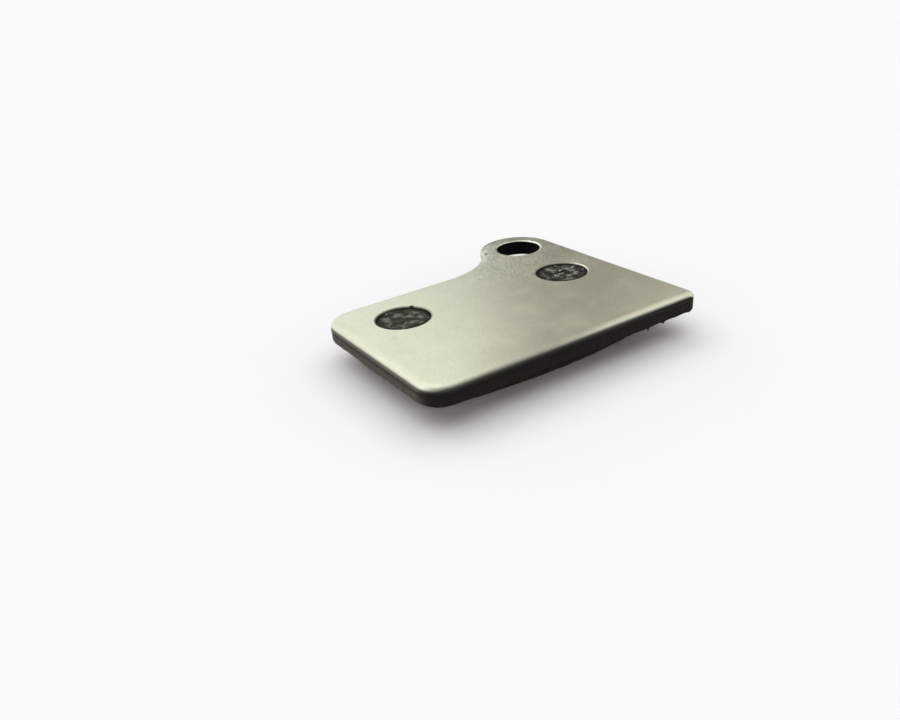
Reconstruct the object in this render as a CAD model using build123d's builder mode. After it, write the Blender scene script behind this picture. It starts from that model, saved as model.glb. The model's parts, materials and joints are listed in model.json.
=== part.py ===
# Bicycle disc brake pad: a stamped steel backing plate with a pin lug, and a friction block keyed into it.
# Millimetres. The pad lies on its friction face, back face up. +X runs along the plate's long side and +Y
# towards the pin lug. The origin is under the middle of the pad's outline, on the friction face.

import os
from math import atan2, degrees, dist, sqrt

from build123d import *

# Backing plate
plate_length = 30.0
plate_width = 20.6  # without the lug
plate_thickness = 1.5
front_left_radius = 2.4
front_right_radius = 1.3
back_left_radius = 3.2

# The press rolls the plate's edge over on the back face
edge_roll_width = 0.9
edge_roll_drop = 0.1
edge_roll_radius = 0.12

# Pin lug, at the right end of the back edge and flush with the right edge
lug_radius = 4.1
lug_rise = 2.65  # centre of the lug's round end beyond the plate's back edge
lug_neck_radius = 8.0
pin_hole_diameter = 4.9
pin_hole_from_right = 3.9
pin_hole_rise = 2.6  # beyond the plate's back edge
pin_rim_width = 0.28
pin_rim_depth = 0.09
pin_rim_clearance = 0.05  # least flat between the hole's rim and the rolled edge

# Keying holes, which the friction material fills
key_hole_diameter = 5.34
key_hole_roll = 0.15
left_key_from_left = 6.36
left_key_from_back = 5.35
right_key_from_right = 5.28
right_key_from_back = 6.74
plug_recess = 0.1  # plug face below the back face

# Friction block
friction_thickness = 2.3
block_left_inset = 1.8
block_right_inset = 1.9
block_back_inset = 1.7
block_front_inset = 2.5  # at the crest of the curved front edge
block_front_radius = 62.0
block_front_left_corner = 2.2
block_front_right_corner = 0.8
block_back_corner = 2.6
block_edge_break = 0.15

# Edges of the plate seen from above
overall_width = plate_width + lug_rise + lug_radius
left = -plate_length / 2
right = plate_length / 2
front = -overall_width / 2
back = front + plate_width
lug_x = right - lug_radius
lug_y = back + lug_rise
pin_centre = (right - pin_hole_from_right, back + pin_hole_rise)

# The thinnest metal round the pin hole limits the hole's eased rim
lug_wall = lug_radius - pin_hole_diameter / 2 - dist(pin_centre, (lug_x, lug_y))
pin_rim = min(pin_rim_width, lug_wall - edge_roll_width - pin_rim_clearance)

# The neck arc touches the lug's circle and the back edge
neck_y = back + lug_neck_radius
neck_x = lug_x - sqrt((lug_radius + lug_neck_radius) ** 2 - (neck_y - lug_y) ** 2)
neck_angle = degrees(atan2(neck_y - lug_y, neck_x - lug_x))

# Places of the keying holes, and the heights of the faces
key_centres = [
    (left + left_key_from_left, back - left_key_from_back),
    (right - right_key_from_right, back - right_key_from_back),
]
plate_bottom = friction_thickness
plate_top = plate_bottom + plate_thickness

# Sides of the friction block, and its front edge, an arc with its crest at mid length
block_left = left + block_left_inset
block_right = right - block_right_inset
block_back = back - block_back_inset
block_crest = (0.5 * (block_left + block_right), front + block_front_inset)
half_block = 0.5 * (block_right - block_left)
block_front_ends = block_crest[1] + block_front_radius - sqrt(block_front_radius**2 - half_block**2)

os.makedirs("parts", exist_ok=True)

# Backing plate
with BuildPart() as backing_plate:
    with BuildSketch(Plane.XY.offset(plate_bottom)):
        with BuildLine():
            front_edge = Line((left, front), (right, front))
            right_edge = Line(front_edge @ 1, (right, lug_y))
            lug_arc = CenterArc((lug_x, lug_y), lug_radius, 0, neck_angle)
            neck_arc = CenterArc((neck_x, neck_y), lug_neck_radius, neck_angle - 180, 90 - neck_angle)
            back_edge = Line(neck_arc @ 1, (left, back))
            Line(back_edge @ 1, front_edge @ 0)
        make_face()
        fillet(vertices().group_by(Axis.X)[0].sort_by(Axis.Y)[-1], back_left_radius)
        fillet(vertices().group_by(Axis.X)[0].sort_by(Axis.Y)[0], front_left_radius)
        fillet(vertices().group_by(Axis.X)[-1].sort_by(Axis.Y)[0], front_right_radius)
    extrude(amount=plate_thickness)
    back_face = faces().sort_by(Axis.Z)[-1]
    chamfer(back_face.outer_wire().edges(), edge_roll_width, edge_roll_drop, reference=back_face)
    roll_rim = edges().filter_by(Plane.XY).group_by(Axis.Z)[-2]
    fillet(roll_rim, edge_roll_radius)
    with Locations((*pin_centre, plate_top)):
        Hole(pin_hole_diameter / 2)
    with Locations(*[(x, y, plate_top) for x, y in key_centres]):
        Hole(key_hole_diameter / 2)
    back_face = faces().sort_by(Axis.Z)[-1]
    rims = back_face.inner_wires().sort_by(Axis.Y)
    chamfer(rims[-1].edges(), pin_rim, pin_rim_depth, reference=back_face)
    fillet(rims[:-1].edges(), key_hole_roll)
backing_plate.part.label = "backing_plate"
export_step(backing_plate.part, "parts/backing_plate.step")

# Friction block, with a plug through each keying hole
with BuildPart() as friction_block:
    with BuildSketch():
        with BuildLine():
            front_arc = ThreePointArc(
                (block_left, block_front_ends), block_crest, (block_right, block_front_ends)
            )
            Polyline(front_arc @ 1, (block_right, block_back), (block_left, block_back), front_arc @ 0)
        make_face()
        fillet(vertices().group_by(Axis.Y)[-1], block_back_corner)
        fillet(vertices().group_by(Axis.X)[0].sort_by(Axis.Y)[0], block_front_left_corner)
        fillet(vertices().group_by(Axis.X)[-1].sort_by(Axis.Y)[0], block_front_right_corner)
    extrude(amount=friction_thickness)
    chamfer(faces().sort_by(Axis.Z)[0].edges(), block_edge_break)
    with BuildSketch(Plane.XY.offset(plate_bottom)):
        with Locations(*key_centres):
            Circle(key_hole_diameter / 2)
    extrude(amount=plate_thickness - plug_recess)
friction_block.part.label = "friction_block"
export_step(friction_block.part, "parts/friction_block.step")
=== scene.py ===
# Bicycle disc brake pad: a satin steel backing plate and a keyed friction block on a pale floor
import json
import math

import bmesh
import bpy
import numpy as np
from mathutils import Matrix, Vector, geometry, noise


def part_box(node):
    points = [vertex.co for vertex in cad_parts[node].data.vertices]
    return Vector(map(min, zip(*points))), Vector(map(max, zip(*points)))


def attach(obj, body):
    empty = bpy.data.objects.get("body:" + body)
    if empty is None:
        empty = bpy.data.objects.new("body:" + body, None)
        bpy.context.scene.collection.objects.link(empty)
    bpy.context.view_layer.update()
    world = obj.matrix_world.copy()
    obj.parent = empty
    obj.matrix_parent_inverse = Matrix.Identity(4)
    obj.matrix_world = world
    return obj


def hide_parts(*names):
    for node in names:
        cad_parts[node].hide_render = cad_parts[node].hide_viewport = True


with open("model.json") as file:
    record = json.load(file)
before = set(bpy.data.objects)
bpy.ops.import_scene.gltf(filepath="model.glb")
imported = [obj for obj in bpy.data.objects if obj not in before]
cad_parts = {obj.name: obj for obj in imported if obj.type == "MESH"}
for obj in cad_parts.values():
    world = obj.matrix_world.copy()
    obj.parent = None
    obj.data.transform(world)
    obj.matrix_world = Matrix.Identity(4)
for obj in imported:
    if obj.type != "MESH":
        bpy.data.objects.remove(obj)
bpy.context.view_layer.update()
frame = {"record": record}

mm = 0.001  # meshes are worked out in millimetres
touching = 1e-6  # points closer than this are one
batch = 1000  # points worked out at a time
paints = ("rim", "lip", "depth", "soil")  # values painted on the points, which the materials read
plateLow, plateHigh = [np.array(corner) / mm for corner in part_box("backing_plate")]
blockLow, blockHigh = [np.array(corner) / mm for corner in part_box("friction_block")]
pinMount = [m for m in frame["record"]["mounts"] if m["name"] == "pin_hole"][0]
pinCentre = np.array(pinMount["pos_m"][:2]) / mm
pinRadius = pinMount["dims"]["r_mm"]


# Outlines: arcs in order round the shape, with straight runs between them
def tracePath(arcs, step):
    points, normals = [], []
    for i, (centre, radius, start, end) in enumerate(arcs):
        side = 1 if end > start else -1
        count = max(6, math.ceil(abs(math.radians(end - start)) * radius / step))
        turn = np.radians(np.linspace(start, end, count + 1))
        spokes = np.stack([np.cos(turn), np.sin(turn)], 1)
        points += list(np.array(centre) + radius * spokes)
        normals += list(side * spokes)
        nextCentre, nextRadius, nextStart, _ = arcs[(i + 1) % len(arcs)]
        a = math.radians(nextStart)
        target = np.array(nextCentre) + nextRadius * np.array([math.cos(a), math.sin(a)])
        here = points[-1]
        length = np.linalg.norm(target - here)
        runs = int(length / step)
        points += [here + (target - here) * k / runs for k in range(1, runs)]
        normals += [normals[-1]] * max(0, runs - 1)
        if length < touching:
            points.pop()
            normals.pop()
    return np.array(points), np.array(normals)


def circlePath(centre, radius, count):
    turn = np.linspace(0, 2 * math.pi, count, endpoint=False)
    return np.array(centre) + radius * np.stack([np.cos(turn), np.sin(turn)], 1)


def insideLoop(points, loop):
    ax, ay = loop[:, 0], loop[:, 1]
    bx, by = np.roll(ax, -1), np.roll(ay, -1)
    slope = (bx - ax) / np.where(by == ay, 1, by - ay)  # a level edge is never crossed
    found = []
    for part in np.array_split(points, len(points) // batch + 1):
        x, y = part[:, :1], part[:, 1:2]
        crossing = ((ay > y) != (by > y)) & (x < ax + (y - ay) * slope)
        found.append(crossing.sum(1) % 2 == 1)
    return np.concatenate(found)


def onPlane(flat, height=0.0):
    return np.column_stack([flat, np.full(len(flat), height)])


def grainAt(points, size, seed):
    # soft noise from -1 to 1 with lumps of about that size
    shift = Vector((seed, 1.7 * seed, -seed))
    return np.array([noise.noise(Vector(p) / size + shift) for p in points])


def smooth(low, high, value):
    t = np.clip((value - low) / (high - low), 0, 1)
    return t * t * (3 - 2 * t)


# Mesh tools
def newShape():
    return {name: [] for name in ("points", "faces", "slots", *paints)}


def addRing(shape, flat, height, **values):
    start, count = len(shape["points"]), len(flat)
    heights = np.broadcast_to(height, count)
    shape["points"] += [(x, y, z) for (x, y), z in zip(flat, heights)]
    for name in paints:
        shape[name] += list(np.broadcast_to(values.get(name, 0.0), count))
    return list(range(start, start + count))


def bridge(shape, ringA, ringB, slot):
    count = len(ringA)
    for i in range(count):
        j = (i + 1) % count
        shape["faces"].append((ringA[i], ringA[j], ringB[j], ringB[i]))
        shape["slots"].append(slot)


def flatOf(shape, ring):
    return np.array([shape["points"][i][:2] for i in ring])


def fillLoop(shape, rings, slot, loose=()):
    # triangles inside the first ring and outside the others, through any loose points
    ids = [i for ring in rings for i in ring] + list(loose)
    flat = [Vector(shape["points"][i][:2]) for i in ids]
    edges, start = [], 0
    for ring in rings:
        edges += [(start + k, start + (k + 1) % len(ring)) for k in range(len(ring))]
        start += len(ring)
    spots, _, triangles, origins, _, _ = geometry.delaunay_2d_cdt(flat, edges, [], 0, touching)
    spots = np.array([tuple(s) for s in spots])
    middles = np.array([spots[list(t)].mean(0) for t in triangles])
    keep = np.ones(len(triangles), bool)
    for k, ring in enumerate(rings):
        inside = insideLoop(middles, flatOf(shape, ring))
        keep &= inside if k == 0 else ~inside
    for t, kept in zip(triangles, keep):
        if kept:
            shape["faces"].append(tuple(ids[origins[v][0]] for v in t))
            shape["slots"].append(slot)


def meshPiece(name, shape, materials, node, sharpAngle):
    mesh = bpy.data.meshes.new(name)
    mesh.from_pydata([tuple(c * mm for c in p) for p in shape["points"]], [], shape["faces"])
    for material in materials:
        mesh.materials.append(material)
    mesh.polygons.foreach_set("material_index", shape["slots"])
    for key in paints:
        paint = mesh.attributes.new(key, "FLOAT", "POINT")
        paint.data.foreach_set("value", np.array(shape[key], np.float32))
    work = bmesh.new()
    work.from_mesh(mesh)
    bmesh.ops.recalc_face_normals(work, faces=work.faces)
    work.to_mesh(mesh)
    work.free()
    mesh.polygons.foreach_set("use_smooth", [True] * len(mesh.polygons))
    mesh.set_sharp_from_angle(angle=math.radians(sharpAngle))
    piece = bpy.data.objects.new(name, mesh)
    bpy.context.scene.collection.objects.link(piece)
    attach(piece, "root")
    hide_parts(node)
    print(name, len(mesh.vertices), "points", len(mesh.polygons), "faces")


# Shader tools
def setSockets(tree, node, sockets):
    for key, value in sockets.items():
        if isinstance(value, bpy.types.NodeSocket):
            tree.links.new(value, node.inputs[key])
        else:
            node.inputs[key].default_value = value


def addNode(tree, kind, sockets=None, **fields):
    made = tree.nodes.new("ShaderNode" + kind)
    for key, value in fields.items():
        setattr(made, key, value)
    setSockets(tree, made, sockets or {})
    return made


def calc(tree, operation, a, b=0.0, c=0.0):
    return addNode(tree, "Math", {0: a, 1: b, 2: c}, operation=operation).outputs[0]


def times(tree, first, *others):
    for other in others:
        first = calc(tree, "MULTIPLY", first, other)
    return first


def timesPlus(tree, value, factor, more):
    return calc(tree, "MULTIPLY_ADD", value, factor, more)


def inverse(tree, value):
    return calc(tree, "SUBTRACT", 1.0, value)


def ramp(tree, value, low, high, toLow=0.0, toHigh=1.0):
    sockets = {"Value": value, "From Min": low, "From Max": high, "To Min": toLow, "To Max": toHigh}
    return addNode(tree, "MapRange", sockets, interpolation_type="SMOOTHSTEP").outputs[0]


def blend(tree, factor, a, b, mode="MIX"):
    sockets = {0: factor, 6: a, 7: b}
    return addNode(tree, "Mix", sockets, data_type="RGBA", blend_type=mode).outputs[2]


def greyOf(tree, value):
    return addNode(tree, "CombineColor", {0: value, 1: value, 2: value}).outputs[0]


def shaded(tree, colour, shade):
    return blend(tree, 1.0, colour, greyOf(tree, shade), "MULTIPLY")


def grain(tree, place, perMm, detail=3.0, rough=0.6, twist=0.0):
    sockets = {"Vector": place, "Scale": perMm, "Detail": detail, "Roughness": rough, "Distortion": twist}
    return addNode(tree, "TexNoise", sockets).outputs[0]


def stretch(tree, place, turn, size):
    # the first size is measured in the direction of the turn
    sockets = {"Vector": place, "Rotation": (0, 0, math.radians(turn)), "Scale": size}
    return addNode(tree, "Mapping", sockets, vector_type="TEXTURE").outputs[0]


def axes(tree, place):
    return addNode(tree, "SeparateXYZ", {0: place}).outputs


def distance(tree, place, spot):
    return addNode(tree, "VectorMath", {0: place, 1: spot}, operation="DISTANCE").outputs["Value"]


def painted(tree, name):
    return addNode(tree, "Attribute", attribute_name=name, attribute_type="GEOMETRY").outputs["Fac"]


def bumped(tree, height, strength, depth):
    return addNode(tree, "Bump", {"Height": height, "Strength": strength, "Distance": depth * mm}).outputs[0]


def newGroup(name, inputs, outputs):
    # the inputs are places or numbers, and all outputs are numbers
    tree = bpy.data.node_groups.new(name, "ShaderNodeTree")
    for label, value in inputs.items():
        kind = "NodeSocketVector" if isinstance(value, tuple) else "NodeSocketFloat"
        tree.interface.new_socket(name=label, in_out="INPUT", socket_type=kind).default_value = value
    for label in outputs:
        tree.interface.new_socket(name=label, in_out="OUTPUT", socket_type="NodeSocketFloat")
    return tree, tree.nodes.new("NodeGroupInput").outputs, tree.nodes.new("NodeGroupOutput").inputs


def putGroup(tree, group, place, sockets):
    return addNode(tree, "Group", {"Place": place, **sockets}, node_tree=group).outputs


def newMaterial(name):
    material = bpy.data.materials.new(name)
    material.use_nodes = True
    tree = material.node_tree
    tree.nodes.clear()
    surface = addNode(tree, "BsdfPrincipled")
    addNode(tree, "OutputMaterial", {"Surface": surface.outputs[0]})
    objectSpace = addNode(tree, "TexCoord").outputs["Object"]
    place = addNode(tree, "VectorMath", {0: objectSpace, "Scale": 1 / mm}, operation="SCALE").outputs[0]
    return material, tree, surface, place


# Shared effects
origin = (0.0, 0.0, 0.0)

# fine blasted grain with a slow mottle, as a shade about 1 and a height
metalGrain, given, result = newGroup(
    "metalGrain", {"Place": origin, "Per mm": 5.0, "Grain": 0.2, "Mottle": 0.1}, ["Shade", "Height"])
fine = grain(metalGrain, given["Place"], given["Per mm"], rough=0.65)
slow = grain(metalGrain, given["Place"], times(metalGrain, given["Per mm"], 0.11), detail=4.0)
fineSwing, slowSwing = [calc(metalGrain, "SUBTRACT", level, 0.5) for level in (fine, slow)]
shade = timesPlus(metalGrain, fineSwing, given["Grain"], 1.0)
shade = timesPlus(metalGrain, slowSwing, given["Mottle"], shade)
metalGrain.links.new(shade, result["Shade"])
metalGrain.links.new(fine, result["Height"])

# where a painted edge is rubbed, with a broken border
wornEdge, given, result = newGroup(
    "wornEdge",
    {"Edge": 0.0, "Place": origin, "Per mm": 3.0, "Start": 0.4, "Full": 0.8, "Broken": 0.4},
    ["Mask"])
border = grain(wornEdge, given["Place"], given["Per mm"], detail=4.0, rough=0.7)
torn = calc(wornEdge, "SUBTRACT", border, 0.5)
level = timesPlus(wornEdge, torn, given["Broken"], given["Edge"])
wornEdge.links.new(ramp(wornEdge, level, given["Start"], given["Full"]), result["Mask"])

# scattered chips, one in each of a share of the cells
flecks, given, result = newGroup(
    "flecks", {"Place": origin, "Per mm": 2.0, "Share": 0.2, "Size": 0.5}, ["Mask", "Tone"])
bend = grain(flecks, given["Place"], 2.2, detail=2.0)
bentPlace = addNode(flecks, "VectorMath", {0: given["Place"], 1: bend}, operation="ADD").outputs[0]
cells = addNode(flecks, "TexVoronoi", {"Vector": bentPlace, "Scale": given["Per mm"]}).outputs
draw = addNode(flecks, "SeparateColor", {0: cells["Color"]}).outputs
chosen = calc(flecks, "GREATER_THAN", given["Share"], draw[0])
near = ramp(flecks, cells["Distance"], given["Size"], times(flecks, given["Size"], 0.6))
flecks.links.new(times(flecks, chosen, near), result["Mask"])
flecks.links.new(draw[1], result["Tone"])

# soft patches of dirt
grime, given, result = newGroup("grime", {"Place": origin, "Per mm": 0.4, "Amount": 0.5}, ["Mask"])
cloud = grain(grime, given["Place"], given["Per mm"], detail=5.0, rough=0.65, twist=0.4)
startLevel = calc(grime, "SUBTRACT", 0.75, times(grime, given["Amount"], 0.5))
fullLevel = calc(grime, "ADD", startLevel, 0.18)
grime.links.new(ramp(grime, cloud, startLevel, fullLevel), result["Mask"])

# one round patch with an uneven border
speck, given, result = newGroup(
    "speck", {"Place": origin, "Centre": origin, "Radius": 0.1, "Per mm": 9.0, "Uneven": 0.08}, ["Mask"])
ragged = grain(speck, given["Place"], given["Per mm"], detail=4.0, rough=0.7)
reach = timesPlus(speck, ragged, given["Uneven"], distance(speck, given["Place"], given["Centre"]))
full = times(speck, given["Radius"], 0.4)
speck.links.new(ramp(speck, reach, given["Radius"], full), result["Mask"])
print("shared effects made")


# Backing plate
plate = {
    # outline
    "width": 20.6,  # front to back, without the lug
    "frontLeft": 2.4,  # radius of each corner
    "frontRight": 1.3,
    "backLeft": 3.2,
    "lugRadius": 4.1,
    "lugRise": 2.65,  # middle of the lug's round end, beyond the back edge
    "neckRadius": 8.0,
    "step": 0.12,  # between points along the outline
    "sharpAngle": 50,

    # rolled edge; a span gives the places along x or y over which it changes
    "rollWidth": 1.2,
    "lugRollWidth": 0.85,
    "lugRollSpan": (6.0, 1.0),
    "frontRollExtra": 0.1,
    "frontRollSpan": (13.6, 12.0),
    "leftDrop": 0.085,  # how far the roll falls on each side
    "frontDrop": (0.03, 0.12),  # at the left end and at the right end
    "frontDropSpan": (-4.0, 13.0),
    "farDrop": 0.02,
    "sideTurn": (0.2, 0.95),  # how far the edge faces the front or the left before this holds
    "rollPower": 1.8,  # 1 is a flat bevel, 2 a curve that steepens outwards
    "rollRings": 15,
    "edgeRound": 0.12,
    "roundRings": 8,
    "flatGap": 0.04,  # narrow flat ring beside the roll and the rims of the holes

    # sheared wall
    "wallRings": 12,
    "shearShare": 0.35,  # smooth upper part of the wall
    "tearFade": 0.2,  # share below it over which the tear sets in
    "tearDepth": 0.06,
    "burr": 0.07,
    "burrRise": 0.1,  # where the burr leaves the wall, above the underside
    "burrInset": (0.09, 0.22),  # of its tip and of its inner side
    "frontTags": [  # x on the front edge, drop and half width
        (8.44, 0.46, 0.11),
        (10.35, 0.3, 0.15),
        (6.0, 0.16, 0.3),
        (4.7, 0.2, 0.35),
        (2.6, 0.2, 0.5),
    ],
    "leftTags": [(-2.6, 0.17, 1.0)],  # y on the left edge, drop and half width

    # holes; where there are three values, the pin hole's is the first
    "keyCentres": [(-8.64, 1.575), (9.72, 0.185)],
    "keyRadius": 2.67,
    "keyRoll": 0.15,
    "pinRimWidth": 0.28,
    "pinRimDepth": 0.09,
    "pinBurr": 0.12,
    "holePoints": (200, 160, 160),
    "rimRings": 9,
    "boreShares": (0.08, 0.5, 1.0),  # of the depth, one for each ring of a bore
    "boreEase": 0.1,  # at the bores' lower ends
    "rimHighlightLevel": (1.0, -0.9, 0.3),  # painted highlight on each rim; below 0, painted shade instead
    "rimHighlightLeast": (0.15, 0.05, 0.05),  # least share of the painted highlight round each rim
    "outerHighlight": 0.4,  # share of the painted highlight at a rim's outer border
    "highlightSide": (-12.0, -5.0, -22.0),  # directions in degrees of the painted highlight on each rim
    "highlightTurn": (0.35, 0.95),
    "rimShadeAway": (0.2, 1.0, 0.85),  # painted shade on the rest of each rim

    # edge coat, partly painted shade, with painted shade on the front edge and a darker far edge on the lug,
    # as painted on the rolled edge
    "rollCoat": 0.8,  # coat at the outer end of the roll
    "farCoat": 0.62,  # how much of it is left on the lug's side and the right
    "farCoatTurn": (0.1, 0.6),
    "frontCoat": 0.05,  # how much more of it is on the right part of the front edge
    "frontCoatSpan": (-2.0, 6.0),
    "lugDark": 0.6,  # darker on the lug's far edge
    "lugDarkSpan": (9.0, 12.0),
    "lugDarkTurn": (0.3, 0.9),
    "frontShade": 0.86,  # painted shade on the left part of the front edge
    "frontShadeSpan": (6.0, -9.0),
    "frontShadeTurn": (0.15, 0.75),
    "cornerShade": 0.3,  # more painted shade on the front left corner than on the front edge
    "cornerShadeSpan": (-11.5, -13.5),
    "rollDarkeningSpan": (0.3, 0.85),  # shares of the roll between which the painted shade and darkening set in

    # steel of the back face
    "paleSteel": (0.565, 0.585, 0.447, 1),
    "warmSteel": (0.572, 0.550, 0.410, 1),
    "warmSpan": (0.0, 20.0),  # along x, from pale to warm
    "warmSlant": -0.8,  # how far this moves along with y
    "warmWander": (0.12, 9.0),  # and with noise: lumps per mm and reach
    "rimSteel": (0.56, 0.57, 0.45, 1),
    # colour of the painted highlight on the rims of the holes
    "lipSteel": (0.86, 0.86, 0.80, 1),
    "rubbedEdge": {"Per mm": 2.5, "Start": 0.1, "Full": 0.7, "Broken": 0.15},
    "roughness": 0.28,
    "film": {"Per mm": 0.25, "Amount": 0.55},
    "filmRough": 0.03,  # added by the film and by the coat
    "coatRough": 0.3,
    "fineGrain": {"Per mm": 4.0, "Grain": 0.22, "Mottle": 0.16},
    "lugGrain": {"Per mm": 3.0, "Mottle": 0.0},
    "grainCentre": (10.0, 9.0, 3.8),  # the lug's grain shows most here
    "grainReach": (13.0, 2.5),  # distances at which it is weakest and strongest
    "grainShade": (0.2, 1.2),
    "grainHeight": (0.08, 1.0),
    "grainTurn": 58.0,  # direction in which it is drawn out
    "grainDraw": (2.0, 0.9, 1.0),
    "steelBump": (0.5, 0.06),  # strength and depth
    "pits": {"Per mm": 0.9, "Share": 0.05, "Size": 0.11},
    "pitStrength": 0.35,
    "specks": [  # place, radius and strength
        ((7.30, 10.43, 3.77), 0.24, 0.95),  # a long nick on the lug
        ((7.37, 10.54, 3.77), 0.30, 0.95),
        ((7.45, 10.66, 3.77), 0.27, 0.9),
        ((7.54, 10.80, 3.77), 0.22, 0.75),
        ((-6.62, 3.42, 3.78), 0.4, 0.95),  # a chip in the left keying hole's rim
        ((-11.7, -1.97, 3.8), 0.5, 0.08),  # a faint spot
        ((13.6, 4.8, 3.8), 3.2, 0.15),  # wide stains round the lug
        ((14.3, 9.0, 3.8), 2.4, 0.25),
        ((12.9, 12.4, 3.8), 2.2, 0.34),
        ((10.8, 13.2, 3.8), 2.0, 0.28),
        ((-6.5, -13.4, 3.8), 5.0, 0.11),  # and painted shade along the front edge
        ((-1.5, -13.4, 3.8), 5.0, 0.13),
    ],
    "speckDark": (0.05, 0.047, 0.036, 1),
    # strength of the painted shade and darkening on the rolled edge and the rims of the holes
    "soilStrength": 0.62,
    "coatGrey": (0.045, 0.044, 0.036, 1),
    "coatBorder": {"Per mm": 5.0, "Start": 0.5, "Full": 0.9, "Broken": 0.1},
    "leftCoat": 0.8,  # less of the coat on the left edge
    "leftCoatSpan": (-13.2, -14.4),
    "darkCoatSpan": (3.0, 11.0),  # along x, where it turns darker
    "darkCoatEdge": (0.8, 0.95),  # and how near to the wall

    # sheared wall and bores, near black: partly a dark coat, partly painted shade
    "edgeDark": (0.0065, 0.0062, 0.0045, 1),
    "edgeBrown": (0.088, 0.074, 0.058, 1),
    "edgeGrey": (0.30, 0.30, 0.24, 1),
    "boreDark": (0.003, 0.003, 0.003, 1),
    "boreBrown": (0.006, 0.0055, 0.005, 1),
    "streakSize": (0.25, 0.25, 1.4),
    "tornWall": {"Per mm": 2.0, "Start": 0.2, "Full": 0.75, "Broken": 0.6},
    "leftWallX": (-11.0, -13.0),  # where the left wall's brown begins
    "leftWallY": (-12.8, -10.8),
    "leftWander": (0.3, 3.0),  # how it wanders along x: lumps per mm and reach
    "frontBrown": 0.07,  # how much of that brown is on the other walls
    "topGrey": (0.04, 0.42),  # worn upper end of the other walls and of the left one
    "topGreySpan": (0.3, 0.0),
    "edgeRoughness": 0.55,
    "edgeBump": (0.5, 0.05),

    # barer metal on the lug's left wall, paler as a painted highlight
    "lugBareHighlight": {"Centre": (7.0, 11.1, 3.2), "Radius": 2.3, "Per mm": 1.1, "Uneven": 1.4},
    "patchStreaks": (0.38, 0.58),  # levels of the streaks between which it shows
    "patchHighlightSteel": (0.42, 0.43, 0.34, 1),
    "patchMetal": 0.4,

    # mottled underside
    "underCoat": (0.050, 0.030, 0.023, 1),
    "underRust": (0.15, 0.088, 0.062, 1),
    "underBare": (0.66, 0.58, 0.52, 1),
    "flakeLevel": (0.49, 0.53),  # where the coat has flaked off
    "islands": {"Per mm": 1.9, "Share": 0.6, "Size": 0.5},
    "underRoughness": (0.68, -0.25),  # of the coat, and what bare metal adds
    "underMetal": 0.7,
    "underBump": (0.6, 0.06),
}


def plateArcs(p):
    left, right = plateLow[0], plateHigh[0]
    front = plateLow[1]
    back = front + p["width"]
    lugX, lugY = right - p["lugRadius"], back + p["lugRise"]
    neckY = back + p["neckRadius"]
    neckX = lugX - math.sqrt((p["lugRadius"] + p["neckRadius"]) ** 2 - (neckY - lugY) ** 2)
    neckTurn = math.degrees(math.atan2(neckY - lugY, neckX - lugX))
    fl, fr, bl = p["frontLeft"], p["frontRight"], p["backLeft"]
    return [
        ((left + fl, front + fl), fl, 180, 270),
        ((right - fr, front + fr), fr, 270, 360),
        ((lugX, lugY), p["lugRadius"], 0, neckTurn),
        ((neckX, neckY), p["neckRadius"], neckTurn + 180, 270),
        ((left + bl, back - bl), bl, 90, 180),
    ]


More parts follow.
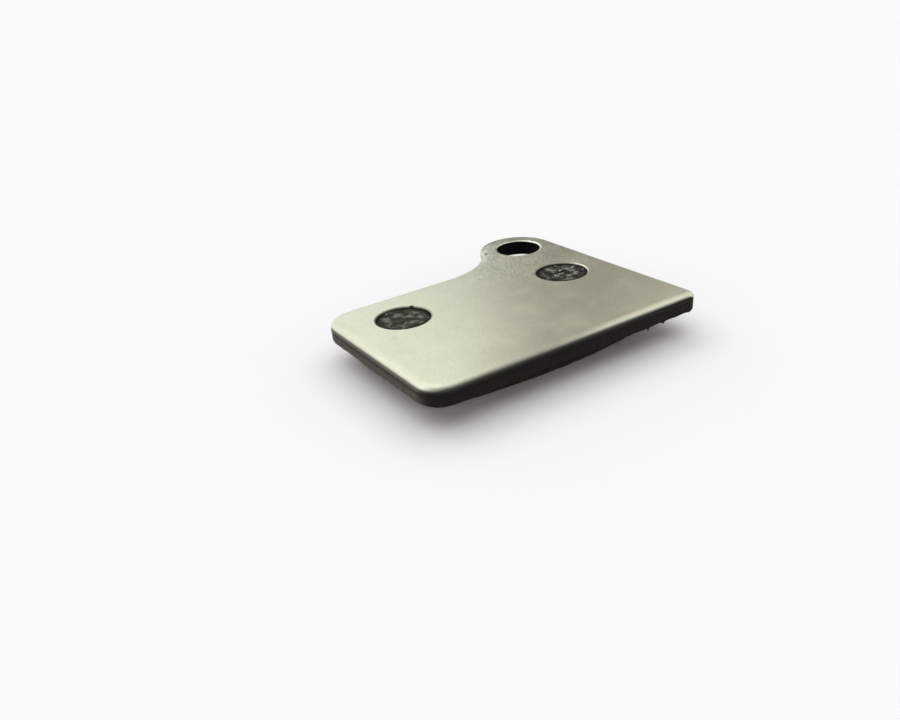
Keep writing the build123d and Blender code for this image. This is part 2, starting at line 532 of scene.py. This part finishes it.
def buildPlate(p):
    steel, wall, under, bore = range(4)  # the materials in order
    shape = newShape()
    top, bottom = plateHigh[2], plateLow[2]
    path, normals = tracePath(plateArcs(p), p["step"])
    x, y = path[:, 0], path[:, 1]
    toRight, toBack = normals[:, 0], normals[:, 1]
    frontward, leftward = smooth(*p["sideTurn"], -toBack), smooth(*p["sideTurn"], -toRight)

    # width and fall of the rolled edge along the outline
    widths = p["lugRollWidth"] + (p["rollWidth"] - p["lugRollWidth"]) * smooth(*p["lugRollSpan"], y)
    widths = widths + p["frontRollExtra"] * frontward * smooth(*p["frontRollSpan"], x)
    leftEnd, rightEnd = p["frontDrop"]
    frontDrop = leftEnd + (rightEnd - leftEnd) * smooth(*p["frontDropSpan"], x)
    farDrop = p["farDrop"]
    drops = farDrop + (frontDrop - farDrop) * frontward + (p["leftDrop"] - farDrop) * leftward

    # coat, partly painted shade, with painted shade on the front edge and a darker far edge on the lug,
    # along the outline
    frontShade = smooth(*p["frontShadeSpan"], x) + p["cornerShade"] * smooth(*p["cornerShadeSpan"], x)
    lugDark = p["lugDark"] * smooth(*p["lugDarkTurn"], toBack) * smooth(*p["lugDarkSpan"], y)
    soil = smooth(*p["frontShadeTurn"], -toBack) * p["frontShade"] * frontShade + lugDark
    coated = 1 - (1 - p["farCoat"]) * smooth(*p["farCoatTurn"], np.maximum(toRight, toBack))
    rollCoat = p["rollCoat"] + p["frontCoat"] * smooth(*p["frontCoatSpan"], x) * frontward

    # rolled edge: a shallow curve, narrower on the lug, then a small round into the wall
    r = p["edgeRound"]
    ring = flatEdge = addRing(shape, path - normals * (widths + p["flatGap"])[:, None], top)
    for t in np.linspace(0, 1, p["rollRings"]):
        inset = widths + (r - widths) * t
        height = top - drops * t ** p["rollPower"]
        rollDarkening = soil * smooth(*p["rollDarkeningSpan"], t)
        loop = path - normals * inset[:, None]
        nextRing = addRing(shape, loop, height, rim=coated * t * rollCoat, soil=rollDarkening)
        bridge(shape, ring, nextRing, steel)
        ring = nextRing
    for tilt in np.radians(np.linspace(0, 90, p["roundRings"])[1:]):
        inset, fall = r * (1 - math.sin(tilt)), r * (1 - math.cos(tilt))
        rim = coated * (rollCoat + (1 - rollCoat) * math.sin(tilt))
        nextRing = addRing(shape, path - normals * inset, top - drops - fall, rim=rim, soil=soil)
        bridge(shape, ring, nextRing, steel)
        ring = nextRing

    # sheared wall: smooth above, torn below, with a burr at the lower edge
    wallTop = top - drops - r
    spots = onPlane(path)
    burrSize = p["burr"] * (0.5 + 0.5 * grainAt(spots, 0.7, seed=3.0)) ** 2 * 2
    ragged = 0.75 + 0.5 * grainAt(spots, 0.5, seed=2.0)
    for facing, along, tags in ((toBack, x, p["frontTags"]), (toRight, y, p["leftTags"])):
        onEdge = facing < -0.9
        for spot, drop, half in tags:
            tag = ragged * drop * np.exp(-(((along - spot) / half) ** 4))
            burrSize = np.maximum(burrSize, onEdge * tag)
    for share in np.linspace(0, 1, p["wallRings"])[1:]:
        height = wallTop + (bottom + p["burrRise"] - wallTop) * share
        streak = grainAt(spots + [0, 0, 0.35 * share], 0.22, seed=5.0)
        lump = grainAt(spots + [0, 0, share], 0.8, seed=8.0)
        torn = p["tearDepth"] * smooth(p["shearShare"], p["shearShare"] + p["tearFade"], share)
        inset = torn * np.clip(0.5 + 0.5 * streak + 0.3 * lump, 0, 1.3)
        nextRing = addRing(shape, path - normals * inset[:, None], height, rim=1.0, depth=share)
        bridge(shape, ring, nextRing, wall)
        ring = nextRing
    tipInset, innerInset = p["burrInset"]
    tipRing = addRing(shape, path - normals * tipInset, bottom - burrSize, rim=1.0, depth=1.0)
    bridge(shape, ring, tipRing, wall)
    underRing = addRing(shape, path - normals * innerInset, bottom, rim=1.0, depth=1.0)
    bridge(shape, tipRing, underRing, under)

    # holes: the rim with a painted highlight on one side and painted shade on the rest, the bore and its
    # lower edge
    topRings, underRings = [flatEdge], [underRing]
    holes = [(pinCentre, pinRadius, p["pinRimWidth"], p["pinRimDepth"], p["pinBurr"])]
    holes += [(centre, p["keyRadius"], p["keyRoll"], p["keyRoll"], 0.0) for centre in p["keyCentres"]]
    for k, (centre, radius, width, depth, drip) in enumerate(holes):
        count, bright, least = p["holePoints"][k], p["rimHighlightLevel"][k], p["rimHighlightLeast"][k]
        ring = addRing(shape, circlePath(centre, radius + width + p["flatGap"], count), top)
        topRings.append(ring)
        # painted highlight towards one side of each rim, painted shade on the rest
        turn = np.linspace(0, 2 * math.pi, count, endpoint=False) - math.radians(p["highlightSide"][k])
        rubbedAndHighlight = smooth(*p["highlightTurn"], np.cos(turn))
        lip = max(0, bright) * (least + (1 - least) * rubbedAndHighlight)
        soiled = np.maximum(-bright, p["rimShadeAway"][k] * (1 - rubbedAndHighlight))
        for a in np.linspace(0, 90, p["rimRings"]):
            t = math.radians(a)
            loop = circlePath(centre, radius + width * (1 - math.sin(t)), count)
            shine = p["outerHighlight"] + (1 - p["outerHighlight"]) * a / 90
            nextRing = addRing(shape, loop, top - depth * (1 - math.cos(t)), lip=lip * shine, soil=soiled)
            bridge(shape, ring, nextRing, steel)
            ring = nextRing
        for share in p["boreShares"]:
            height = top - depth + (bottom - drip - top + depth) * share
            nextRing = addRing(shape, circlePath(centre, radius, count), height, rim=1.0, depth=1.0)
            bridge(shape, ring, nextRing, bore)
            ring = nextRing
        loop = circlePath(centre, radius + p["boreEase"], count)
        nextRing = addRing(shape, loop, bottom, rim=1.0, depth=1.0)
        bridge(shape, ring, nextRing, bore)
        underRings.append(nextRing)
    fillLoop(shape, topRings, steel)
    fillLoop(shape, underRings, under)
    return shape


def plateSteel(p):
    material, tree, surface, place = newMaterial("plateSteel")
    x, y, _ = axes(tree, place)
    edge, lip = painted(tree, "rim"), painted(tree, "lip")

    # pale steel that turns warmer, worn on the edge, with a painted highlight on the rims of the holes
    perMm, reach = p["warmWander"]
    along = timesPlus(tree, grain(tree, place, perMm), reach, x)
    along = timesPlus(tree, y, p["warmSlant"], along)
    base = blend(tree, ramp(tree, along, *p["warmSpan"]), p["paleSteel"], p["warmSteel"])
    rubbedAndHighlight = putGroup(tree, wornEdge, place, {"Edge": edge, **p["rubbedEdge"]})["Mask"]
    base = blend(tree, rubbedAndHighlight, base, p["rimSteel"])
    # painted highlight on the rims of the holes
    base = blend(tree, lip, base, p["lipSteel"])

    # fine grain all over, and a coarser one that is drawn out round the lug
    away = distance(tree, place, p["grainCentre"])
    fine = putGroup(tree, metalGrain, place, p["fineGrain"])
    drawn = stretch(tree, place, p["grainTurn"], p["grainDraw"])
    lugShade = ramp(tree, away, *p["grainReach"], *p["grainShade"])
    coarse = putGroup(tree, metalGrain, drawn, {"Grain": lugShade, **p["lugGrain"]})
    base = shaded(tree, base, times(tree, fine["Shade"], coarse["Shade"]))
    height = times(tree, coarse["Height"], ramp(tree, away, *p["grainReach"], *p["grainHeight"]))

    # pits, specks, stains and painted shade along the front edge, kept off the painted rim highlights
    pits = putGroup(tree, flecks, place, p["pits"])["Mask"]
    marks = times(tree, pits, p["pitStrength"])
    for spot, radius, strength in p["specks"]:
        mark = putGroup(tree, speck, place, {"Centre": spot, "Radius": radius})["Mask"]
        marks = calc(tree, "MAXIMUM", marks, times(tree, mark, strength))
    base = blend(tree, times(tree, marks, inverse(tree, lip)), base, p["speckDark"])

    # painted shade on the front edge and on the rims of the holes and a darker far edge on the lug; then the
    # dark wall coat, partly painted shade, creeps over the rolled edge
    base = blend(tree, times(tree, painted(tree, "soil"), p["soilStrength"]), base, p["edgeDark"])
    kept = times(tree, edge, ramp(tree, x, *p["leftCoatSpan"], 1.0, p["leftCoat"]))
    coat = putGroup(tree, wornEdge, place, {"Edge": kept, **p["coatBorder"]})["Mask"]
    # no coat on the bare metal by the lug's left wall, which is painted paler as a highlight
    coat = times(tree, coat, inverse(tree, putGroup(tree, speck, place, p["lugBareHighlight"])["Mask"]))
    darkest = times(tree, ramp(tree, edge, *p["darkCoatEdge"]), ramp(tree, x, *p["darkCoatSpan"]))
    base = blend(tree, coat, base, blend(tree, darkest, p["coatGrey"], p["edgeDark"]))

    film = putGroup(tree, grime, place, p["film"])["Mask"]
    rough = timesPlus(tree, film, p["filmRough"], p["roughness"])
    rough = timesPlus(tree, coat, p["coatRough"], rough)
    setSockets(tree, surface, {
        "Base Color": base,
        "Metallic": inverse(tree, coat),
        "Roughness": rough,
        "Specular IOR Level": 0.15,
        "Normal": bumped(tree, height, *p["steelBump"]),
    })
    return material


def plateEdge(p, name, dark, brown):
    material, tree, surface, place = newMaterial(name)
    x, y, _ = axes(tree, place)
    depth = painted(tree, "depth")
    streaks = grain(tree, stretch(tree, place, 0, p["streakSize"]), 1.0, detail=4.0)
    low = putGroup(tree, wornEdge, place, {"Edge": depth, **p["tornWall"]})["Mask"]

    # brown on the torn part of the left wall, and grey at its worn upper end; the front and right walls stay
    # near black, partly as painted shade
    perMm, reach = p["leftWander"]
    wander = timesPlus(tree, grain(tree, place, perMm), reach, x)
    leftward = times(tree, ramp(tree, wander, *p["leftWallX"]), ramp(tree, y, *p["leftWallY"]))
    tone = times(
        tree,
        timesPlus(tree, low, 0.7, 0.3),
        timesPlus(tree, leftward, 1 - p["frontBrown"], p["frontBrown"]),
        timesPlus(tree, streaks, 1.2, 0.4))
    base = blend(tree, calc(tree, "MINIMUM", tone, 1.0), dark, brown)
    worn = ramp(tree, depth, *p["topGreySpan"])
    worn = times(tree, worn, ramp(tree, leftward, 0.0, 1.0, *p["topGrey"]))
    base = blend(tree, worn, base, p["edgeGrey"])

    # metal scraped bare on the lug's left wall, in a paler colour that is a painted highlight
    bare = putGroup(tree, speck, place, p["lugBareHighlight"])["Mask"]
    scrapedHighlight = times(tree, bare, ramp(tree, streaks, *p["patchStreaks"]))
    base = blend(tree, scrapedHighlight, base, p["patchHighlightSteel"])
    setSockets(tree, surface, {
        "Base Color": base,
        "Metallic": times(tree, scrapedHighlight, p["patchMetal"]),
        "Roughness": p["edgeRoughness"],
        "Specular IOR Level": 0.06,
        "Normal": bumped(tree, streaks, *p["edgeBump"]),
    })
    return material


def plateUnder(p):
    material, tree, surface, place = newMaterial("plateUnder")
    flaking = grain(tree, place, 0.8, detail=6.0, rough=0.7, twist=0.5)
    islands = putGroup(tree, flecks, place, p["islands"])["Mask"]
    bare = times(tree, ramp(tree, flaking, *p["flakeLevel"]), inverse(tree, islands))
    stain = grain(tree, place, 1.6, detail=5.0, rough=0.7)
    coat = blend(tree, stain, p["underCoat"], p["underRust"])
    scuffs = ramp(tree, grain(tree, place, 4.0, rough=0.7), 0.4, 0.7, 0.0, 0.5)
    base = blend(tree, bare, coat, blend(tree, scuffs, p["underBare"], p["underRust"]))
    coatRough, bareRough = p["underRoughness"]
    height = timesPlus(tree, stain, 0.4, times(tree, bare, -1.0))
    setSockets(tree, surface, {
        "Base Color": base,
        "Metallic": times(tree, bare, p["underMetal"]),
        "Roughness": timesPlus(tree, bare, bareRough, coatRough),
        "Normal": bumped(tree, height, *p["underBump"]),
    })
    return material


plateMaterials = [
    plateSteel(plate),
    plateEdge(plate, "plateEdge", plate["edgeDark"], plate["edgeBrown"]),
    plateUnder(plate),
    plateEdge(plate, "plateBore", plate["boreDark"], plate["boreBrown"]),
]
meshPiece(
    "backingPlateSteel", buildPlate(plate), plateMaterials,
    "backing_plate", plate["sharpAngle"])


# Friction block
block = {
    # outline and sides
    "frontRadius": 62.0,
    "frontLeft": 2.2,  # radius of each corner
    "frontRight": 0.8,
    "backCorner": 2.6,
    "edgeBreak": 0.15,
    "sideStep": 0.15,  # between points along the outline
    "sideRings": 15,
    "lumpDepth": 0.14,
    "chipDepth": 0.35,  # out of the lower edge
    "lowerInset": 0.14,  # of the face's border, and its height
    "lowerRise": 0.07,
    "lowerRough": 0.05,
    "sharpAngle": 60,

    # worn friction face
    "faceStep": 0.13,
    "faceMargin": 0.12,
    "pitDepth": 0.22,
    "pitPlaces": [((-10.5, 1.5), 4.0), ((8.0, 4.0), 5.0)],  # where it has broken out most, and how widely
    "dragDepth": 0.012,
    "crumbDepth": 0.03,
    "borderDepth": 0.1,
    "grindTurn": 107.0,  # direction of the grinding lines

    # plugs in the keying holes
    "plugGap": 0.01,
    "plugPoints": 150,
    "plugStep": 0.075,
    "plugMargin": 0.05,
    "plugRelief": 0.06,
    "plugProfile": [(0, 0.16), (0, 0.12), (0.03, 0.06), (0.08, 0.04)],  # inset and drop of its rings
    "plugRough": 0.02,
    "plugBorder": 0.05,  # how much lower the face is along its border

    # plug material; of two values, the first is the left plug's
    "plugSpan": (-6.0, 6.0),
    "plugBlack": (0.009, 0.0094, 0.0066, 1),
    "plugDark": (0.050, 0.050, 0.037, 1),
    "fleckGrey": (0.36, 0.362, 0.30, 1),
    "fleckBright": (0.74, 0.74, 0.68, 1),
    "plugRubbed": (0.38, 0.62),  # how far the lumps are rubbed
    "plugDust": (0.45, 0.0),  # dust in the hollows
    "plugChips": (0.6, 1.0),  # how bright the chips are
    "chipTurn": 35,
    "chipSize": (1.0, 0.67, 1.0),
    "chips": {"Per mm": 1.2, "Share": 0.4, "Size": 0.45},
    "chipMetal": 0.5,
    # painted shade in the gap along each plug's border
    "plugGapShade": 0.85,
    "plugRoughness": 0.6,
    "plugBump": (0.5, 0.08),  # strength and depth

    # side material
    "sideBrown": (0.010, 0.007, 0.0055, 1),
    "sideRed": (0.036, 0.021, 0.0145, 1),
    "fleckCopper": (0.26, 0.19, 0.13, 1),
    "sideFlecks": {"Per mm": 3.2, "Share": 0.14, "Size": 0.4},
    "copperMetal": 0.6,
    "hollows": {"Per mm": 1.6, "Share": 0.3, "Size": 0.45},
    "hollowDark": 0.8,
    "lowEdge": {"Per mm": 1.5, "Start": 0.8, "Full": 1.1, "Broken": 0.3},
    "lowBrown": 0.12,  # how much of the face's brown is on the lower edge
    "sideRoughness": 0.75,
    "sideBump": (0.7, 0.1),

    # face material
    "faceBrown": (0.255, 0.150, 0.076, 1),
    "faceDark": (0.125, 0.066, 0.036, 1),
    "faceGlint": (0.78, 0.60, 0.38, 1),
    "pitBlack": (0.016, 0.010, 0.007, 1),
    "lineSize": (2.0, 0.125, 1.0),
    "lineShade": (0.72, 1.28),
    "granules": {"Per mm": 5.5, "Grain": 2.6, "Mottle": 0.6},
    "leastShade": 0.15,
    "glints": {"Per mm": 3.0, "Share": 0.34, "Size": 0.42},
    "holes": {"Per mm": 1.5, "Share": 0.2, "Size": 0.36},
    "holeDark": 0.7,
    "pitDark": 0.92,
    "faceBump": (0.6, 0.06),
}


def blockArcs(p):
    left, right, back = blockLow[0], blockHigh[0], blockHigh[1]
    big = p["frontRadius"]
    midX, midY = 0.5 * (left + right), blockLow[1] + big
    corners = []
    for x, r in ((left + p["frontLeft"], p["frontLeft"]), (right - p["frontRight"], p["frontRight"])):
        y = midY - math.sqrt((big - r) ** 2 - (x - midX) ** 2)
        corners.append(((x, y), r, 360 + math.degrees(math.atan2(y - midY, x - midX))))
    (leftSpot, leftR, leftTurn), (rightSpot, rightR, rightTurn) = corners
    b = p["backCorner"]
    return [
        (leftSpot, leftR, 180, leftTurn),
        ((midX, midY), big, leftTurn, rightTurn),
        (rightSpot, rightR, rightTurn, 360),
        ((right - b, back - b), b, 0, 90),
        ((left + b, back - b), b, 90, 180),
    ]


def scatter(loop, step, margin):
    # a jittered grid of points inside the loop, clear of its border, and their gaps from it
    low, high = loop.min(0), loop.max(0)
    xs = np.arange(low[0], high[0], step)
    ys = np.arange(low[1], high[1], step * 0.866)
    gridX, gridY = np.meshgrid(xs, ys)
    gridX = gridX + (np.arange(len(ys)) % 2)[:, None] * step / 2
    spots = np.stack([gridX.ravel(), gridY.ravel()], 1)
    shake = np.random.default_rng(7).uniform(-0.2, 0.2, spots.shape)
    spots = spots + shake * step
    spots = spots[insideLoop(spots, loop)]
    gaps = np.concatenate([
        np.linalg.norm(part[:, None] - loop[None, ::2], axis=2).min(1)
        for part in np.array_split(spots, len(spots) // batch + 1)
    ])
    return spots[gaps > margin], gaps[gaps > margin]


def faceHeight(p, spots, gaps):
    # worn friction face: open pits, drag marks and a crumbled border, all above the resting plane
    flat = onPlane(spots)
    broken = smooth(0.1, 0.6, grainAt(flat, 3.0, seed=4.0)) * 0.5
    for centre, reach in p["pitPlaces"]:
        away = np.linalg.norm(spots - np.array(centre), axis=1)
        broken = np.maximum(broken, smooth(reach, 0.2 * reach, away))
    lumps = 0.75 * grainAt(flat, 0.95, seed=11.0) + 0.35 * grainAt(flat, 0.35, seed=6.0)
    pit = smooth(0.55, 0.8, lumps + 0.42 * broken)
    crumb = np.clip(grainAt(flat, 0.24, seed=13.0), 0, 1)
    a = math.radians(p["grindTurn"])
    along = spots @ np.array([math.cos(a), math.sin(a)])
    across = spots @ np.array([-math.sin(a), math.cos(a)])
    drag = grainAt(onPlane(np.column_stack([across, along * 0.06])), 0.45, seed=2.0)
    border = smooth(0.45, 0.0, gaps + 0.25 * grainAt(flat, 0.6, seed=9.0))
    rise = p["pitDepth"] * pit + p["dragDepth"] * (1 + drag)
    rise = rise + p["crumbDepth"] * crumb + p["borderDepth"] * border
    return np.maximum(rise, 0), np.maximum(pit, 0.6 * border)


def buildBlock(p):
    plug, sides, bottom = range(3)  # the materials in order
    shape = newShape()
    top, low, face = plateLow[2], blockLow[2], blockHigh[2]
    path, normals = tracePath(blockArcs(p), p["sideStep"])
    spots = onPlane(path)

    # side wall from the plate down, lumpy, with chips out of its lower edge
    chip = smooth(0.05, 0.5, grainAt(spots, 1.7, seed=6.0)) * (0.5 + 0.5 * grainAt(spots, 0.5, seed=1.0))
    rings = []
    for share in np.linspace(0, 1, p["sideRings"]):
        height = top + (low + p["edgeBreak"] - top) * share
        here = spots + [0, 0, height]
        lumps = 0.5 + 0.32 * grainAt(here, 0.9, seed=2.0) + 0.4 * grainAt(here, 0.33, seed=5.0)
        chipped = p["chipDepth"] * np.clip(chip, 0, 1) * smooth(0.5, 1.0, share)
        inset = np.maximum(p["lumpDepth"] * lumps, 0) + chipped
        rings.append(addRing(shape, path - normals * inset[:, None], height, depth=share))
    inset = inset + p["lowerInset"]
    height = low + p["lowerRise"] + p["lowerRough"] * grainAt(spots, 0.4, seed=3.0)
    lower = addRing(shape, path - normals * inset[:, None], height, depth=1.0)
    for ring, nextRing in zip(rings, [*rings[1:], lower]):
        bridge(shape, ring, nextRing, sides)
    inner, gaps = scatter(flatOf(shape, lower), p["faceStep"], p["faceMargin"])
    rise, pit = faceHeight(p, inner, gaps)
    loose = addRing(shape, inner, low + rise, depth=1.0, soil=pit)
    fillLoop(shape, [lower], bottom, loose)

    # plugs through the keying holes
    seats = rings[:1]
    radius, count = plate["keyRadius"] - p["plugGap"], p["plugPoints"]
    for k, centre in enumerate(plate["keyCentres"]):
        ring = addRing(shape, circlePath(centre, radius, count), top)
        seats.append(ring)
        # the sloping rings and the border of each plug carry painted shade in the gap
        for inset, drop in p["plugProfile"]:
            loop = circlePath(centre, radius - inset, count)
            rough = grainAt(onPlane(loop, face), 0.3, seed=7.0 + k)
            nextRing = addRing(shape, loop, face - drop - p["plugRough"] * (1 + rough), lip=1.0)
            bridge(shape, ring, nextRing, plug)
            ring = nextRing
        inner, gaps = scatter(flatOf(shape, ring), p["plugStep"], p["plugMargin"])
        flat = onPlane(inner)
        relief = 0.75 * grainAt(flat, 0.75, seed=3.0 + k) + 0.4 * grainAt(flat, 0.28, seed=8.0 + k)
        raised = smooth(-0.4, 0.5, relief) * smooth(0.0, 0.5, gaps)
        height = face - p["plugRelief"] * (1 - raised) - p["plugBorder"] * smooth(0.3, 0.0, gaps)
        loose = addRing(shape, inner, height, rim=raised, lip=smooth(0.5, 0.05, gaps))
        fillLoop(shape, [ring], plug, loose)
    fillLoop(shape, seats, sides)
    return shape


def frictionPlug(p):
    material, tree, surface, place = newMaterial("frictionPlug")
    x = axes(tree, place)[0]
    rubbedAndHighlight, dust, chipped = [
        ramp(tree, x, *p["plugSpan"], *p[key]) for key in ("plugRubbed", "plugDust", "plugChips")]
    crumbs = grain(tree, place, 6.0, rough=0.7)
    raised = timesPlus(tree, calc(tree, "SUBTRACT", crumbs, 0.5), 0.4, painted(tree, "rim"))
    base = blend(tree, ramp(tree, raised, 0.0, 0.5, dust), p["plugBlack"], p["plugDark"])
    base = blend(tree, times(tree, ramp(tree, raised, 0.4, 1.05), rubbedAndHighlight), base, p["fleckGrey"])
    chips = putGroup(tree, flecks, stretch(tree, place, p["chipTurn"], p["chipSize"]), p["chips"])
    bright = times(tree, chips["Mask"], times(tree, chips["Tone"], chips["Tone"]), chipped)
    base = blend(tree, bright, base, p["fleckBright"])
    # painted shade in the gap along the plug's border
    base = blend(tree, times(tree, painted(tree, "lip"), p["plugGapShade"]), base, p["plugBlack"])
    setSockets(tree, surface, {
        "Base Color": base,
        "Metallic": times(tree, bright, p["chipMetal"]),
        "Roughness": p["plugRoughness"],
        "Specular IOR Level": 0.04,
        "Normal": bumped(tree, crumbs, *p["plugBump"]),
    })
    return material


def frictionSide(p):
    material, tree, surface, place = newMaterial("frictionSide")
    cloud = ramp(tree, grain(tree, place, 1.3, detail=5.0, rough=0.72), 0.36, 0.66)
    base = blend(tree, cloud, p["sideBrown"], p["sideRed"])
    hollows = putGroup(tree, flecks, place, p["hollows"])["Mask"]
    base = blend(tree, times(tree, hollows, p["hollowDark"]), base, p["pitBlack"])
    chips = putGroup(tree, flecks, place, p["sideFlecks"])
    base = blend(tree, times(tree, chips["Mask"], chips["Tone"]), base, p["fleckCopper"])
    low = putGroup(tree, wornEdge, place, {"Edge": painted(tree, "depth"), **p["lowEdge"]})["Mask"]
    base = blend(tree, times(tree, low, p["lowBrown"]), base, p["faceBrown"])
    crust = grain(tree, place, 4.0, detail=5.0, rough=0.7)
    height = calc(tree, "SUBTRACT", crust, times(tree, hollows, 0.5))
    setSockets(tree, surface, {
        "Base Color": base,
        "Metallic": times(tree, chips["Mask"], p["copperMetal"]),
        "Roughness": p["sideRoughness"],
        "Specular IOR Level": 0.2,
        "Normal": bumped(tree, height, *p["sideBump"]),
    })
    return material


def frictionFace(p):
    material, tree, surface, place = newMaterial("frictionFace")
    lines = grain(tree, stretch(tree, place, p["grindTurn"], p["lineSize"]), 1.0, detail=4.0, rough=0.7)
    cloud = ramp(tree, grain(tree, place, 0.3, detail=5.0, rough=0.65), 0.34, 0.66)
    base = blend(tree, cloud, p["faceDark"], p["faceBrown"])
    granules = putGroup(tree, metalGrain, place, p["granules"])
    shade = times(tree, granules["Shade"], ramp(tree, lines, 0.3, 0.7, *p["lineShade"]))
    base = shaded(tree, base, calc(tree, "MAXIMUM", shade, p["leastShade"]))
    glints = putGroup(tree, flecks, place, p["glints"])
    shine = times(tree, glints["Mask"], glints["Tone"])
    base = blend(tree, shine, base, p["faceGlint"])
    holes = putGroup(tree, flecks, place, p["holes"])["Mask"]
    broken = times(tree, painted(tree, "soil"), p["pitDark"])
    pits = calc(tree, "MAXIMUM", times(tree, holes, p["holeDark"]), broken)
    base = blend(tree, pits, base, p["pitBlack"])
    metal = times(tree, timesPlus(tree, shine, 0.5, 0.35), inverse(tree, pits))
    rough = timesPlus(tree, pits, 0.35, timesPlus(tree, lines, 0.15, 0.4))
    height = timesPlus(tree, lines, 0.4, calc(tree, "SUBTRACT", granules["Height"], holes))
    setSockets(tree, surface, {
        "Base Color": base,
        "Metallic": metal,
        "Roughness": rough,
        "Normal": bumped(tree, height, *p["faceBump"]),
    })
    return material


blockMaterials = [frictionPlug(block), frictionSide(block), frictionFace(block)]
meshPiece(
    "frictionBlockRough", buildBlock(block), blockMaterials,
    "friction_block", block["sharpAngle"])


# Floor, light and camera
studio = {
    "floorSize": 14,  # metres
    "floorGap": 0.02,  # millimetres below the pad
    "floorShade": 0.97,
    "sky": 0.18,
    "horizonShade": 0.955,
    "openSide": 32.0,  # azimuth of the side where the white surround is low
    "openFade": (4.0, 15.0),  # heights in degrees over which it fades to the sky there
    "sideFade": (12.0, 35.0),  # and on the other sides
    "lamps": {  # azimuth from +Y towards +X, height, width in degrees, power
        "backLeft": (2.0, 33.0, 60.0, 0.78),
        "right": (67.0, 38.0, 44.0, 0.37),
        "ceiling": (0.0, 84.0, 100.0, 1.64),
    },
    "cameraSpot": (-42.649, -64.293, 35.260),
    "cameraAhead": (0.45448, 0.77349, -0.44178),
    "cameraRight": (0.83616, -0.54142, -0.08774),
    "lens": 33.60,
    "sensor": 36,
    "nearest": 5.0,  # what is nearer to the camera isn't drawn
}

bpy.ops.mesh.primitive_plane_add(size=studio["floorSize"], location=(0, 0, -studio["floorGap"] * mm))
floor = bpy.context.object
floor.name = "floor"
floorMaterial, tree, surface, _ = newMaterial("floorPaper")
shade = studio["floorShade"]
setSockets(tree, surface, {
    "Base Color": (shade, shade, shade, 1),
    "Roughness": 0.9,
    "Specular IOR Level": 0.0,
})
floor.data.materials.append(floorMaterial)

world = bpy.data.worlds.new("studio")
world.use_nodes = True
bpy.context.scene.world = world
tree = world.node_tree
x, y, z = axes(tree, addNode(tree, "TexCoord").outputs["Generated"])
a = math.radians(studio["openSide"])
facing = timesPlus(tree, y, math.cos(a), times(tree, x, math.sin(a)))
enclosed = ramp(tree, facing, 0.5, 0.0)
fades = []
for openHeight, sideHeight in zip(studio["openFade"], studio["sideFade"]):
    low, high = math.sin(math.radians(openHeight)), math.sin(math.radians(sideHeight))
    fades.append(timesPlus(tree, enclosed, high - low, low))
level = ramp(tree, z, *fades, studio["horizonShade"], studio["sky"])
setSockets(tree, tree.nodes["Background"], {"Color": greyOf(tree, level)})

for name, (azimuth, height, width, power) in studio["lamps"].items():
    light = bpy.data.lights.new(name, "SUN")
    light.energy = power
    light.angle = math.radians(width)
    lamp = bpy.data.objects.new(name, light)
    a, e = math.radians(azimuth), math.radians(height)
    toLight = Vector((math.sin(a) * math.cos(e), math.cos(a) * math.cos(e), math.sin(e)))
    lamp.rotation_euler = (-toLight).to_track_quat("-Z", "Y").to_euler()
    bpy.context.scene.collection.objects.link(lamp)

camera = bpy.data.objects.new("camera", bpy.data.cameras.new("camera"))
ahead, side = Vector(studio["cameraAhead"]).normalized(), Vector(studio["cameraRight"]).normalized()
turn = Matrix((side, side.cross(ahead), -ahead)).transposed().to_4x4()
camera.matrix_world = Matrix.Translation(Vector(studio["cameraSpot"]) * mm) @ turn
camera.data.lens = studio["lens"]
camera.data.sensor_width = studio["sensor"]
camera.data.clip_start = studio["nearest"] * mm
bpy.context.scene.collection.objects.link(camera)
bpy.context.scene.camera = camera
bpy.context.scene.view_settings.view_transform = "Standard"
print("studio set")
